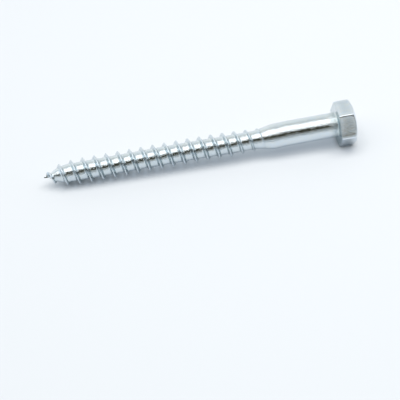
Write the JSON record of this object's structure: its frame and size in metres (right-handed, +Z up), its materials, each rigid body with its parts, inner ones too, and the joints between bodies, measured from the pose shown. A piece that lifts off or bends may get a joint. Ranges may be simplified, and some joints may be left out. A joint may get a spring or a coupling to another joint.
{
  "type": "lag screw",
  "caption": "Zinc-plated steel lag screw: hexagon head, plain shank and a coarse right-hand wood thread with a gimlet point, driven by a spanner or socket to clamp timber.",
  "frame": {"origin": "centre of the box that holds the lying screw, on the surface it lies on", "axes": "+X along the screw towards its head, +Z up; the screw lies at rest on one flat of its head and a thread crest near its point, so its axis slopes 1.7 degrees down towards the point"},
  "size_m": [0.0964, 0.0144, 0.0127],
  "materials": {
    "zinc_plate": "bright zinc plate over forged and rolled steel: cloudy, with fine handling marks and a faint tint in the thread roots"
  },
  "bodies": {
    "root": {"lag_screw": "zinc_plate"}
  },
  "joints": []
}
